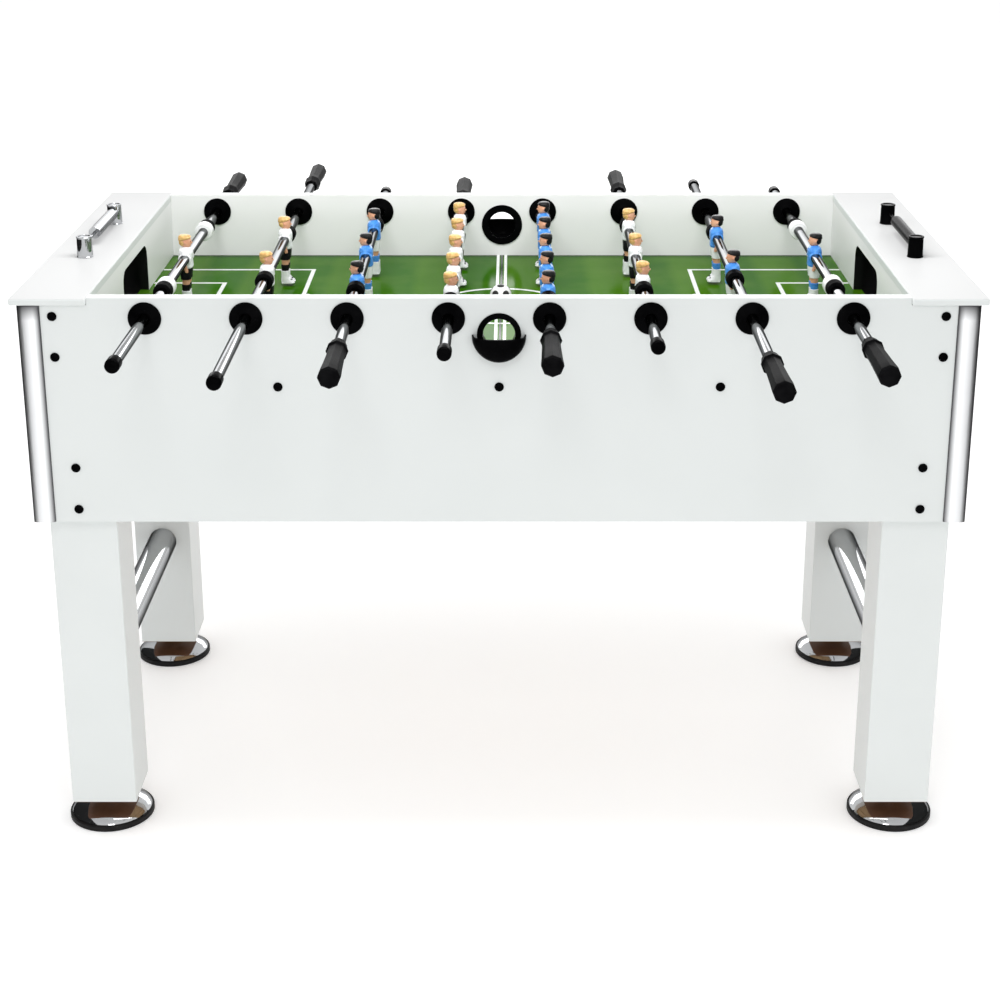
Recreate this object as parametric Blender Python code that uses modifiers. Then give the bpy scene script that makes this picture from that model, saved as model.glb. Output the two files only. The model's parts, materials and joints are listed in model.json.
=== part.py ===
"""Foosball table: eight rods with twenty-two players over a boxed-in playing field on four legs.

The origin is on the floor under the middle of the table. X runs from goal to goal,
-Y is the side of the front player and +Z is up. Sizes are in metres.
"""

import math

import bmesh
import bpy
from mathutils import Matrix

# Cabinet
GAP = 0.0003
TABLE_TOP = 0.870
RAIL_THICK = 0.010
RAIL_HALF_LENGTH = 0.700
RAIL_HALF_WIDTH = 0.3660
RAIL_INNER = 0.590
RAIL_EDGE_ROUND = 0.002
SKIRT_BOTTOM = 0.527
SIDE_OUTER = 0.360
SIDE_THICK = 0.020
SIDE_INNER = SIDE_OUTER - SIDE_THICK
END_OUTER = 0.687
END_THICK = 0.015
END_INNER = END_OUTER - END_THICK

# Playing field and goals
FIELD_TOP = 0.760
FIELD_THICK = 0.012
GOAL_WALL_THICK = 0.015
GOAL_WALL_BACK = RAIL_INNER + GOAL_WALL_THICK
GOAL_HALF_WIDTH = 0.100
GOAL_HEIGHT = 0.080
GOAL_CORNER = 0.022
CHEEK_THICK = 0.012
CHEEK_CLEARANCE = 0.010
JOINT_OVERLAP = 0.005
POCKET_FLOOR = 0.700
POCKET_FLOOR_THICK = 0.010
POCKET_SLOPE = 0.006
WINDOW_HALF_WIDTH = 0.055
WINDOW_LOW = 0.711
WINDOW_HIGH = 0.756
BATTEN_PLACES = (-0.321, 0.0, 0.320)
BATTEN_WIDTH = 0.040
BATTEN_BOTTOM = 0.715
ENTRY_RADIUS = 0.0245
ENTRY_HEIGHT = 0.816

# Legs, feet and braces
LEG_WIDTH = 0.100
LEG_BOTTOM = 0.044
LEG_OUTER_X = END_INNER - GAP
LEG_OUTER_Y = SIDE_INNER - GAP
LEG_EDGE = 0.001
LEG_X = LEG_OUTER_X - LEG_WIDTH / 2
LEG_Y = LEG_OUTER_Y - LEG_WIDTH / 2
STEM_RADIUS = 0.007
STEM_TOP = 0.094
STEM_CLEARANCE = 0.0004
STEM_BORE_SPARE = 0.005
FOOT_RADIUS = 0.066
FOOT_RIM_HEIGHT = 0.010
FOOT_HUB_RADIUS = 0.0135
FOOT_HUB_GAP = 0.004
FOOT_DISH = ((0.0160, 0.030), (0.0300, 0.026), (0.0540, 0.0185), (0.0620, FOOT_RIM_HEIGHT))
BRACE_RADIUS = 0.025
BRACE_WALL = 0.0015
BRACE_HEIGHT = 0.247

# Rods
ROD_RADIUS = 0.00795
ROD_WALL = 0.0015
ROD_HEIGHT = 0.840
ROD_SPACING = 0.145
ROD_HOLE_RADIUS = 0.0084
ROD_END_COVER = 0.003
GRIP_LENGTH = 0.150
GRIP_RADIUS = 0.0157
GRIP_WAIST = 0.0128
GRIP_COLLAR = 0.027
GRIP_COLLAR_SLOPE = 0.003
GRIP_NOSE = 0.0115
GRIP_NOSE_LENGTH = 0.010
GRIP_END_RADIUS = 0.0125
GRIP_BORE = 0.0093
GRIP_END_WALL = 0.010
BORE_RADIUS = ROD_RADIUS + 0.0004

# One line for each rod: team, number of players, their spacing, how far their middle is off the
# table's middle, and how far the rod's two ends stand out from the side panels, front and back.
RODS = (
    ("white", 1, 0.000, 0.000, 0.235, 0.265),
    ("white", 2, 0.245, 0.009, 0.308, 0.347),
    ("blue", 3, 0.184, 0.010, 0.286, 0.154),
    ("white", 5, 0.120, 0.000, 0.180, 0.219),
    ("blue", 5, 0.120, 0.008, 0.236, 0.088),
    ("white", 3, 0.184, 0.009, 0.150, 0.288),
    ("blue", 2, 0.245, 0.019, 0.347, 0.221),
    ("blue", 1, 0.000, 0.010, 0.280, 0.158),
)

# Players, about the rod's axis: a box is its lowest and highest corner
TORSO_BOX = ((-0.0125, -0.0165, -0.016), (0.0125, 0.0165, 0.0185))
SHOULDER_SHARE = (0.80, 0.85)
LEGS_BOX = ((-0.0110, -0.0150, -0.072), (0.0110, 0.0150, -0.012))
ANKLE_SHARE = (0.60, 0.80)
BOOTS_BOX = ((-0.0090, -0.0130, -0.0755), (0.0125, 0.0130, -0.058))
INSTEP = 0.007
HEAD_RADIUS = 0.0104
HEAD_PLACE = (0.001, 0, 0.0265)
HEAD_SHAPE = (1.0, 0.95, 1.12)

# Ball
BALL_RADIUS = 0.0175

# Scorers
SCORER_X = 0.643
POST_RADIUS = 0.0125
POST_HEIGHT = 0.0327
POST_HALF_SPACING = 0.115
WIRE_RADIUS = 0.00225
WIRE_HEIGHT = TABLE_TOP + 0.0203
BEAD_RADIUS = 0.0093
BEAD_WAIST = 0.0062
BEAD_BORE = 0.0027
BEAD_COUNT = 10
BEAD_LENGTH = 0.0143
BEAD_SHOULDER = 0.25

ALONG_Y = Matrix.Rotation(math.radians(-90), 4, "X")

for old in list(bpy.data.objects):
    bpy.data.objects.remove(old, do_unlink=True)

table = bpy.data.collections.new("foosball_table")
cutters = bpy.data.collections.new("cutters")
bpy.context.scene.collection.children.link(table)
bpy.context.scene.collection.children.link(cutters)


def make_material(name, color, roughness, metallic=0.0):
    material = bpy.data.materials.new(name)
    material.use_nodes = True
    shader = material.node_tree.nodes["Principled BSDF"]
    shader.inputs["Base Color"].default_value = (*color, 1.0)
    shader.inputs["Roughness"].default_value = roughness
    shader.inputs["Metallic"].default_value = metallic
    return material


laminate = make_material("white_laminate", (0.82, 0.83, 0.82), 0.45)
turf = make_material("printed_turf", (0.06, 0.22, 0.03), 0.30)
chrome = make_material("chrome", (0.80, 0.81, 0.82), 0.12, 1.0)
black_rubber = make_material("black_rubber", (0.015, 0.015, 0.016), 0.55)
black_plastic = make_material("black_plastic", (0.02, 0.02, 0.02), 0.30)
white_plastic = make_material("white_plastic", (0.85, 0.85, 0.83), 0.30)
blue_plastic = make_material("blue_plastic", (0.03, 0.16, 0.60), 0.30)


def add_part(name, mesh, material, location=(0, 0, 0), rotation=(0, 0, 0)):
    part = bpy.data.objects.new(name, mesh)
    if not mesh.materials:
        mesh.materials.append(None)
    part.material_slots[0].link = "OBJECT"
    part.material_slots[0].material = material
    part.location = location
    part.rotation_euler = rotation
    table.objects.link(part)
    return part


def add_cutter(name, mesh):
    cutter = bpy.data.objects.new(name, mesh)
    cutter.hide_render = True
    cutter.display_type = "WIRE"
    cutters.objects.link(cutter)
    return cutter


def finish_mesh(name, shape):
    mesh = bpy.data.meshes.new(name)
    shape.to_mesh(mesh)
    shape.free()
    return mesh


def add_box(shape, low, high):
    """Adds a box between two corners and returns its points."""
    size = [b - a for a, b in zip(low, high)]
    middle = [(a + b) / 2 for a, b in zip(low, high)]
    place = Matrix.Translation(middle) @ Matrix.Diagonal((*size, 1))
    return bmesh.ops.create_cube(shape, size=1, matrix=place)["verts"]


def box_mesh(name, low, high):
    shape = bmesh.new()
    add_box(shape, low, high)
    return finish_mesh(name, shape)


def add_cylinder(shape, radius, length, middle, turn=None, sides=16):
    place = Matrix.Translation(middle) @ (turn or Matrix())
    bmesh.ops.create_cone(
        shape, cap_ends=True, segments=sides, radius1=radius, radius2=radius, depth=length, matrix=place
    )


def combine(part, other, operation):
    modifier = part.modifiers.new(other.name, "BOOLEAN")
    modifier.operation = operation
    modifier.solver = "EXACT"
    modifier.object = other


def round_edges(part, width, segments):
    modifier = part.modifiers.new("rounded_edges", "BEVEL")
    modifier.width = width
    modifier.segments = segments


def turned_mesh(name, profile, closed=False):
    """Makes the half-section that a Screw modifier turns round the local Z axis."""
    shape = bmesh.new()
    points = [shape.verts.new((radius, 0, height)) for radius, height in profile]
    for first, second in zip(points, points[1:]):
        shape.edges.new((first, second))
    if closed:
        shape.edges.new((points[-1], points[0]))
    return finish_mesh(name, shape)


def turn_round(part, steps):
    modifier = part.modifiers.new("turned", "SCREW")
    modifier.angle = math.tau
    modifier.steps = steps
    modifier.render_steps = steps
    modifier.use_merge_vertices = True
    modifier.merge_threshold = 0.00001


def baked(part):
    """Returns the part's shape with its modifiers applied, and removes the part."""
    bpy.context.view_layer.update()
    graph = bpy.context.evaluated_depsgraph_get()
    mesh = bpy.data.meshes.new_from_object(part.evaluated_get(graph))
    bpy.data.objects.remove(part, do_unlink=True)
    return mesh


def rod_x(number):
    return (number - (len(RODS) - 1) / 2) * ROD_SPACING


def make_side_panels():
    holes = bmesh.new()
    for number in range(len(RODS)):
        place = (rod_x(number), 0, ROD_HEIGHT)
        add_cylinder(holes, ROD_HOLE_RADIUS, 3 * SIDE_OUTER, place, ALONG_Y)
    add_cylinder(holes, ENTRY_RADIUS, 3 * SIDE_OUTER, (0, 0, ENTRY_HEIGHT), ALONG_Y, 24)
    holes = add_cutter("rod_and_entry_holes", finish_mesh("rod_and_entry_holes", holes))
    notches = bmesh.new()
    for side in (-1, 1):
        near, far = RAIL_INNER - GAP, RAIL_HALF_LENGTH
        low_x, high_x = sorted((side * near, side * far))
        low = (low_x, -RAIL_HALF_WIDTH, TABLE_TOP - RAIL_THICK - GAP)
        add_box(notches, low, (high_x, RAIL_HALF_WIDTH, TABLE_TOP + RAIL_THICK))
    notches = add_cutter("rail_notches", finish_mesh("rail_notches", notches))
    for name, low_y, high_y in (
        ("front_side_panel", -SIDE_OUTER, -SIDE_INNER),
        ("back_side_panel", SIDE_INNER, SIDE_OUTER),
    ):
        mesh = box_mesh(name, (-END_OUTER, low_y, SKIRT_BOTTOM), (END_OUTER, high_y, TABLE_TOP))
        panel = add_part(name, mesh, laminate)
        combine(panel, notches, "DIFFERENCE")
        combine(panel, holes, "DIFFERENCE")


def make_goal_end(name, side):
    """End panel, inner goal wall and the pocket behind the goal, modelled at +X and turned for -X."""
    half_width = SIDE_INNER - GAP
    top = TABLE_TOP - RAIL_THICK - GAP
    pocket_inner = GOAL_WALL_BACK + GAP
    cheek_outer = GOAL_HALF_WIDTH + CHEEK_CLEARANCE + CHEEK_THICK
    panel = box_mesh(name, (END_INNER, -half_width, SKIRT_BOTTOM), (END_OUTER, half_width, top))
    part = add_part(name, panel, laminate)

    wall = box_mesh(
        "goal_wall",
        (RAIL_INNER, -half_width, FIELD_TOP + GAP),
        (GOAL_WALL_BACK, half_width, top),
    )
    pocket = bmesh.new()
    floor = add_box(
        pocket,
        (pocket_inner, -cheek_outer, POCKET_FLOOR - POCKET_FLOOR_THICK),
        (END_INNER + JOINT_OVERLAP, cheek_outer, POCKET_FLOOR),
    )
    for point in floor:
        if point.co.z > POCKET_FLOOR - GAP and point.co.x < END_INNER:
            point.co.z += POCKET_SLOPE
    pieces = [wall, finish_mesh("pocket_floor", pocket)]
    for hand in (-1, 1):
        low_y, high_y = sorted((hand * (cheek_outer - CHEEK_THICK), hand * cheek_outer))
        lower = POCKET_FLOOR - POCKET_FLOOR_THICK / 2
        joint = FIELD_TOP + GAP
        pieces.append(
            box_mesh("cheek_low", (pocket_inner, low_y, lower), (END_INNER + JOINT_OVERLAP, high_y, joint + 2 * JOINT_OVERLAP))
        )
        pieces.append(
            box_mesh("cheek_high", (GOAL_WALL_BACK - JOINT_OVERLAP, low_y, joint), (END_INNER + JOINT_OVERLAP, high_y, top))
        )
    mouth = bmesh.new()
    add_box(
        mouth,
        (RAIL_INNER - JOINT_OVERLAP, -GOAL_HALF_WIDTH, FIELD_TOP - JOINT_OVERLAP),
        (GOAL_WALL_BACK + JOINT_OVERLAP, GOAL_HALF_WIDTH, FIELD_TOP + GOAL_HEIGHT),
    )
    upper_edges = [
        edge
        for edge in mouth.edges
        if all(point.co.z > FIELD_TOP for point in edge.verts)
        and abs(edge.verts[0].co.x - edge.verts[1].co.x) > GOAL_WALL_THICK
    ]
    bmesh.ops.bevel(
        mouth, geom=upper_edges, offset=GOAL_CORNER, segments=4, profile=0.5, affect="EDGES", material=-1
    )
    window = box_mesh(
        "return_window",
        (END_INNER - JOINT_OVERLAP, -WINDOW_HALF_WIDTH, WINDOW_LOW),
        (END_OUTER + JOINT_OVERLAP, WINDOW_HALF_WIDTH, WINDOW_HIGH),
    )
    turn = 0 if side > 0 else math.pi
    for mesh, operation in (
        *((piece, "UNION") for piece in pieces),
        (finish_mesh("goal_mouth", mouth), "DIFFERENCE"),
        (window, "DIFFERENCE"),
    ):
        other = add_cutter(f"{name}_{mesh.name}", mesh)
        other.rotation_euler = (0, 0, turn)
        combine(part, other, operation)
    part.rotation_euler = (0, 0, turn)


def make_playfield():
    half_width = SIDE_INNER - GAP
    mesh = box_mesh(
        "playfield_board",
        (GAP - GOAL_WALL_BACK, -half_width, FIELD_TOP - FIELD_THICK),
        (GOAL_WALL_BACK - GAP, half_width, FIELD_TOP),
    )
    board = add_part("playfield_board", mesh, turf)
    for middle in BATTEN_PLACES:
        low = (middle - BATTEN_WIDTH / 2, -half_width, BATTEN_BOTTOM)
        high = (middle + BATTEN_WIDTH / 2, half_width, FIELD_TOP - FIELD_THICK + FIELD_THICK / 10)
        combine(board, add_cutter("batten", box_mesh("batten", low, high)), "UNION")


def make_top_rails():
    for name, low_x in (("left_top_rail", -RAIL_HALF_LENGTH), ("right_top_rail", RAIL_INNER)):
        low = (low_x, -RAIL_HALF_WIDTH, TABLE_TOP - RAIL_THICK)
        high = (low_x + RAIL_HALF_LENGTH - RAIL_INNER, RAIL_HALF_WIDTH, TABLE_TOP)
        round_edges(add_part(name, box_mesh(name, low, high), laminate), RAIL_EDGE_ROUND, 2)


def corners():
    for long_name, x in (("left", -LEG_X), ("right", LEG_X)):
        for wide_name, y in (("front", -LEG_Y), ("back", LEG_Y)):
            yield f"{wide_name}_{long_name}", x, y


def make_legs():
    half = LEG_WIDTH / 2
    top = FIELD_TOP - FIELD_THICK - GAP
    for corner, x, y in corners():
        mesh = box_mesh("leg", (-half, -half, LEG_BOTTOM), (half, half, top))
        leg = add_part(f"{corner}_leg", mesh, laminate, (x, y, 0))
        round_edges(leg, LEG_EDGE, 1)
        bore = bmesh.new()
        low, high = LEG_BOTTOM - 2 * STEM_BORE_SPARE, STEM_TOP + STEM_BORE_SPARE
        middle = (x, y, (low + high) / 2)
        add_cylinder(bore, STEM_RADIUS + STEM_CLEARANCE, high - low, middle)
        combine(leg, add_cutter("stem_bore", finish_mesh("stem_bore", bore)), "DIFFERENCE")


def make_feet():
    """Levelling feet, each turning on its threaded stem."""
    hub_top = LEG_BOTTOM - FOOT_HUB_GAP
    profile = (
        (0, STEM_TOP),
        (STEM_RADIUS, STEM_TOP),
        (STEM_RADIUS, hub_top),
        (FOOT_HUB_RADIUS, hub_top),
        *FOOT_DISH,
        (FOOT_RADIUS, FOOT_RIM_HEIGHT),
        (FOOT_RADIUS, 0),
        (0, 0),
    )
    mesh = turned_mesh("levelling_foot", profile)
    for corner, x, y in corners():
        turn_round(add_part(f"{corner}_foot", mesh, chrome, (x, y, 0)), 20)


def make_braces():
    length = 2 * (LEG_Y - LEG_WIDTH / 2 - GAP)
    for name, x in (("left_brace_tube", -LEG_X), ("right_brace_tube", LEG_X)):
        top = length / 2
        inner = BRACE_RADIUS - BRACE_WALL
        profile = ((BRACE_RADIUS, top), (BRACE_RADIUS, -top), (inner, -top), (inner, top))
        tube = add_part(name, turned_mesh(name, profile, closed=True), chrome)
        tube.matrix_world = Matrix.Translation((x, 0, BRACE_HEIGHT)) @ ALONG_Y
        turn_round(tube, 24)


def taper(points, end, share):
    """Narrows a box towards its top, where end is 1, or towards its bottom, where end is -1."""
    middle = sum(point.co.z for point in points) / len(points)
    for point in points:
        if (point.co.z - middle) * end > 0:
            point.co.x *= share[0]
            point.co.y *= share[1]


def make_player_mesh():
    """A player standing on the rod's axis and facing +X, with the bore that the rod runs through."""
    torso = bmesh.new()
    taper(add_box(torso, *TORSO_BOX), 1, SHOULDER_SHARE)
    body = add_part("torso", finish_mesh("torso", torso), white_plastic)
    legs = bmesh.new()
    taper(add_box(legs, *LEGS_BOX), -1, ANKLE_SHARE)
    head = bmesh.new()
    place = Matrix.Translation(HEAD_PLACE) @ Matrix.Diagonal((*HEAD_SHAPE, 1))
    bmesh.ops.create_icosphere(head, subdivisions=2, radius=HEAD_RADIUS, matrix=place)
    boots = bmesh.new()
    toes = [point for point in add_box(boots, *BOOTS_BOX) if point.co.x > 0]
    for point in toes:
        if point.co.z > BOOTS_BOX[0][2] + GAP:
            point.co.x -= INSTEP
    bore = bmesh.new()
    add_cylinder(bore, BORE_RADIUS, 2 * (TORSO_BOX[1][1] - TORSO_BOX[0][1]), (0, 0, 0), ALONG_Y)
    for name, shape, operation in (
        ("player_legs", legs, "UNION"),
        ("player_boots", boots, "UNION"),
        ("player_head", head, "UNION"),
        ("player_bore", bore, "DIFFERENCE"),
    ):
        combine(body, add_cutter(name, finish_mesh(name, shape)), operation)
    return baked(body)


def make_rods():
    player = make_player_mesh()
    grip_profile = (
        (0, GRIP_LENGTH),
        (GRIP_END_RADIUS, GRIP_LENGTH),
        (GRIP_RADIUS, GRIP_LENGTH - GRIP_END_WALL),
        (GRIP_WAIST, GRIP_COLLAR + GRIP_COLLAR_SLOPE),
        (GRIP_RADIUS, GRIP_COLLAR),
        (GRIP_WAIST, GRIP_NOSE_LENGTH),
        (GRIP_NOSE, 0),
        (GRIP_BORE, 0),
        (GRIP_BORE, GRIP_LENGTH - GRIP_END_WALL),
        (0, GRIP_LENGTH - GRIP_END_WALL),
    )
    grip = turned_mesh("grip", grip_profile)
    for number, (team, count, spacing, offset, front, back) in enumerate(RODS):
        name = f"rod_{number + 1}"
        x = rod_x(number)
        grip_in_front = team == "blue"
        low = -SIDE_OUTER - front
        high = SIDE_OUTER + back
        handle = add_part(f"{name}_grip", grip, black_rubber)
        if grip_in_front:
            handle.matrix_world = Matrix.Translation((x, low + GRIP_LENGTH, ROD_HEIGHT)) @ Matrix.Rotation(
                math.radians(90), 4, "X"
            )
            low += GRIP_END_WALL + GAP
            high -= ROD_END_COVER
        else:
            handle.matrix_world = Matrix.Translation((x, high - GRIP_LENGTH, ROD_HEIGHT)) @ ALONG_Y
            high -= GRIP_END_WALL + GAP
            low += ROD_END_COVER
        turn_round(handle, 8)
        reach = (high - low) / 2
        inner = ROD_RADIUS - ROD_WALL
        profile = ((ROD_RADIUS, reach), (ROD_RADIUS, -reach), (inner, -reach), (inner, reach))
        tube = add_part(f"{name}_tube", turned_mesh(name, profile, closed=True), chrome)
        tube.matrix_world = Matrix.Translation((x, (low + high) / 2, ROD_HEIGHT)) @ ALONG_Y
        turn_round(tube, 16)
        plastic = white_plastic if team == "white" else blue_plastic
        facing = 0 if team == "white" else math.pi
        for place in range(count):
            y = offset + (place - (count - 1) / 2) * spacing
            part_name = f"{name}_player_{place + 1}"
            add_part(part_name, player, plastic, (x, y, ROD_HEIGHT), (0, 0, facing))


def make_scorers():
    inner_span = 2 * (POST_HALF_SPACING - POST_RADIUS)
    stack_length = BEAD_COUNT * BEAD_LENGTH
    slack = (inner_span - stack_length) / 2 - GAP
    for side, x, beads_at, finish in (
        ("left", -SCORER_X, slack, chrome),
        ("right", SCORER_X, -slack, black_plastic),
    ):
        posts = []
        for end in (-1, 1):
            shape = bmesh.new()
            middle = (x, end * POST_HALF_SPACING, TABLE_TOP + GAP + POST_HEIGHT / 2)
            add_cylinder(shape, POST_RADIUS, POST_HEIGHT, middle, sides=20)
            posts.append(finish_mesh("post", shape))
        frame = add_part(f"{side}_scorer_frame", posts[0], finish)
        wire = bmesh.new()
        add_cylinder(wire, WIRE_RADIUS, 2 * POST_HALF_SPACING, (x, 0, WIRE_HEIGHT), ALONG_Y, 12)
        combine(frame, add_cutter(f"{side}_wire", finish_mesh("wire", wire)), "UNION")
        combine(frame, add_cutter(f"{side}_post", posts[1]), "UNION")

        top = stack_length / 2
        profile = [(BEAD_WAIST, top)]
        for bead in range(BEAD_COUNT):
            start = top - bead * BEAD_LENGTH
            profile.append((BEAD_RADIUS, start - BEAD_SHOULDER * BEAD_LENGTH))
            profile.append((BEAD_RADIUS, start - (1 - BEAD_SHOULDER) * BEAD_LENGTH))
            profile.append((BEAD_WAIST, start - BEAD_LENGTH))
        profile += [(BEAD_BORE, -top), (BEAD_BORE, top)]
        mesh = turned_mesh(f"{side}_beads", profile, closed=True)
        beads = add_part(f"{side}_scorer_beads", mesh, finish)
        beads.matrix_world = Matrix.Translation((x, beads_at, WIRE_HEIGHT)) @ ALONG_Y
        turn_round(beads, 12)


def make_ball():
    shape = bmesh.new()
    bmesh.ops.create_uvsphere(shape, u_segments=20, v_segments=12, radius=BALL_RADIUS)
    mesh = finish_mesh("ball", shape)
    mesh.shade_smooth()
    add_part("ball", mesh, white_plastic, (0, 0, FIELD_TOP + BALL_RADIUS + GAP))


make_side_panels()
make_goal_end("left_goal_end", -1)
make_goal_end("right_goal_end", 1)
make_playfield()
make_top_rails()
make_legs()
make_feet()
make_braces()
make_rods()
make_scorers()
make_ball()
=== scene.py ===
import json
import math

import bmesh
import bpy
from mathutils import Matrix, Vector


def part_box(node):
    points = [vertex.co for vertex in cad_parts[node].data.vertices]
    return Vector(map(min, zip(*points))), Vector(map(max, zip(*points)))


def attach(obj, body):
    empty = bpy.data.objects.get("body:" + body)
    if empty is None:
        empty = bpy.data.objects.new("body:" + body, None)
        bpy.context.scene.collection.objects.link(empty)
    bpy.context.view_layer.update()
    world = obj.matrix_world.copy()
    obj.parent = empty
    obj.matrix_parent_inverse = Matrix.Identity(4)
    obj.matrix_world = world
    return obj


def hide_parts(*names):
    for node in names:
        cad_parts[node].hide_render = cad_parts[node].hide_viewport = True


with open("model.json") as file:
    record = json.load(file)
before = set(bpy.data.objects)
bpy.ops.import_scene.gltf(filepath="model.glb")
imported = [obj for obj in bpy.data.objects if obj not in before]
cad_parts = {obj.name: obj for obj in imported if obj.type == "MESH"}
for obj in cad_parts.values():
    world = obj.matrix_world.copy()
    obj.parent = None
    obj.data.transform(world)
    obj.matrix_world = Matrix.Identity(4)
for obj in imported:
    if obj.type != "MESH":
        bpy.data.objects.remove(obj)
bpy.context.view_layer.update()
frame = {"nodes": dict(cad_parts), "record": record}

print("frame loaded:", len(frame["nodes"]), "nodes")

milli = 0.001
hairline = 0.0001
upright = Matrix()
toBack = Matrix.Rotation(math.radians(-90), 4, "X")   # turns a shape's Z towards the table's back
toFront = Matrix.Rotation(math.radians(90), 4, "X")   # turns a shape's Z towards the front
toRight = Matrix.Rotation(math.radians(90), 4, "Y")
toLeft = Matrix.Rotation(math.radians(-90), 4, "Y")
nodeFinish = {part["node"]: part["material_slot"] for part in frame["record"]["subparts"]}
rodNames = sorted(name[:-5] for name in frame["nodes"] if name.endswith("_tube") and name.startswith("rod_"))


studio = {
    "cameraPlace": (0.0215, -2.960, 1.5755),
    "cameraPitch": 18.0,
    "lens": 67.9,
    "shift": (-0.014, -0.109),
    "floorSize": 60.0,
    "skyWhite": 1.0,
    "whiteUpTo": 0.12,
    "skyTop": 0.70,
    "floorWhite": 0.94,
    "floorGlow": 0.26,
    "stageRough": 0.7,
    "stageShine": 0.1,
}
softLights = (
    {"name": "keySoftbox", "place": (-0.35, -3.6, 3.6), "aim": (0, 0, 0.7), "size": (1.1, 1.1), "power": 23},
    {"name": "lowSoftbox", "place": (0.0, -3.4, 0.7), "aim": (0, 0, 0.4), "size": (2.4, 0.7), "power": 7},
    {
        "name": "fieldSoftbox", "place": (0, -0.3, 1.75), "aim": (0, 0.3, 0.8),
        "size": (1.2, 0.4), "power": 11.2,
    },
    {"name": "backStrip", "place": (0.0, 5.6, 2.0), "aim": (0, 0, 0.8), "size": (6.0, 1.5), "power": 95},
)
# dark flags that only show in reflections, one beside each end of the table
flagLook = {"across": 1.5, "front": -1.9, "back": 1.3, "height": 1.25, "grey": 0.012}


def addStaged(name, shape, paint):
    mesh = bpy.data.meshes.new(name)
    shape.to_mesh(mesh)
    shape.free()
    mesh.materials.append(paint)
    staged = bpy.data.objects.new(name, mesh)
    bpy.context.scene.collection.objects.link(staged)
    return staged


def stagePaint(name, grey, glow=0.0):
    paint = bpy.data.materials.new(name)
    paint.use_nodes = True
    shader = paint.node_tree.nodes["Principled BSDF"]
    shader.inputs["Base Color"].default_value = (grey, grey, grey, 1)
    shader.inputs["Roughness"].default_value = studio["stageRough"]
    shader.inputs["Specular IOR Level"].default_value = studio["stageShine"]
    shader.inputs["Emission Color"].default_value = (1, 1, 1, 1)
    shader.inputs["Emission Strength"].default_value = glow
    return paint


def buildSky():
    world = bpy.data.worlds.new("studioWorld")
    world.use_nodes = True
    tree = world.node_tree
    direction = tree.nodes.new("ShaderNodeTexCoord")
    axes = tree.nodes.new("ShaderNodeSeparateXYZ")
    fade = tree.nodes.new("ShaderNodeMapRange")
    fade.inputs["From Min"].default_value = studio["whiteUpTo"]
    fade.inputs["To Min"].default_value = studio["skyWhite"]
    fade.inputs["To Max"].default_value = studio["skyTop"]
    tree.links.new(direction.outputs["Generated"], axes.inputs["Vector"])
    tree.links.new(axes.outputs["Z"], fade.inputs["Value"])
    tree.links.new(fade.outputs["Result"], tree.nodes["Background"].inputs["Strength"])
    tree.nodes["Background"].inputs["Color"].default_value = (1, 1, 1, 1)
    bpy.context.scene.world = world


def buildStudio():
    camera = bpy.data.objects.new("camera", bpy.data.cameras.new("camera"))
    camera.location = studio["cameraPlace"]
    camera.rotation_euler = (math.radians(90 - studio["cameraPitch"]), 0, 0)
    camera.data.lens = studio["lens"]
    camera.data.shift_x, camera.data.shift_y = studio["shift"]
    bpy.context.scene.collection.objects.link(camera)
    bpy.context.scene.camera = camera
    for light in softLights:
        lamp = bpy.data.lights.new(light["name"], "AREA")
        lamp.shape = "RECTANGLE"
        lamp.size, lamp.size_y = light["size"]
        lamp.energy = light["power"]
        holder = bpy.data.objects.new(light["name"], lamp)
        holder.location = light["place"]
        aim = Vector(light["aim"]) - Vector(light["place"])
        holder.rotation_euler = aim.to_track_quat("-Z", "Y").to_euler()
        bpy.context.scene.collection.objects.link(holder)
    bpy.context.scene.view_settings.view_transform = "Standard"
    ground = bmesh.new()
    bmesh.ops.create_grid(ground, x_segments=2, y_segments=2, size=studio["floorSize"] / 2)
    pale = stagePaint("studioFloorPaint", studio["floorWhite"], studio["floorGlow"])
    addStaged("studioFloor", ground, pale)
    look = flagLook
    dark = stagePaint("flagPaint", look["grey"])
    for side in (-1, 1):
        flag = bmesh.new()
        middle = Vector((side * look["across"], (look["front"] + look["back"]) / 2, look["height"] / 2))
        spread = Matrix.Diagonal((look["height"] / 2, (look["back"] - look["front"]) / 2, 1, 1))
        upend = Matrix.Rotation(math.radians(90), 4, "Y")
        place = Matrix.Translation(middle) @ upend @ spread
        bmesh.ops.create_grid(flag, x_segments=1, y_segments=1, size=1, matrix=place)
        staged = addStaged("leftFlag" if side < 0 else "rightFlag", flag, dark)
        staged.visible_camera = staged.visible_diffuse = staged.visible_shadow = False
        staged.visible_transmission = staged.visible_volume_scatter = False


buildSky()
buildStudio()
print("studio ready")


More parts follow.
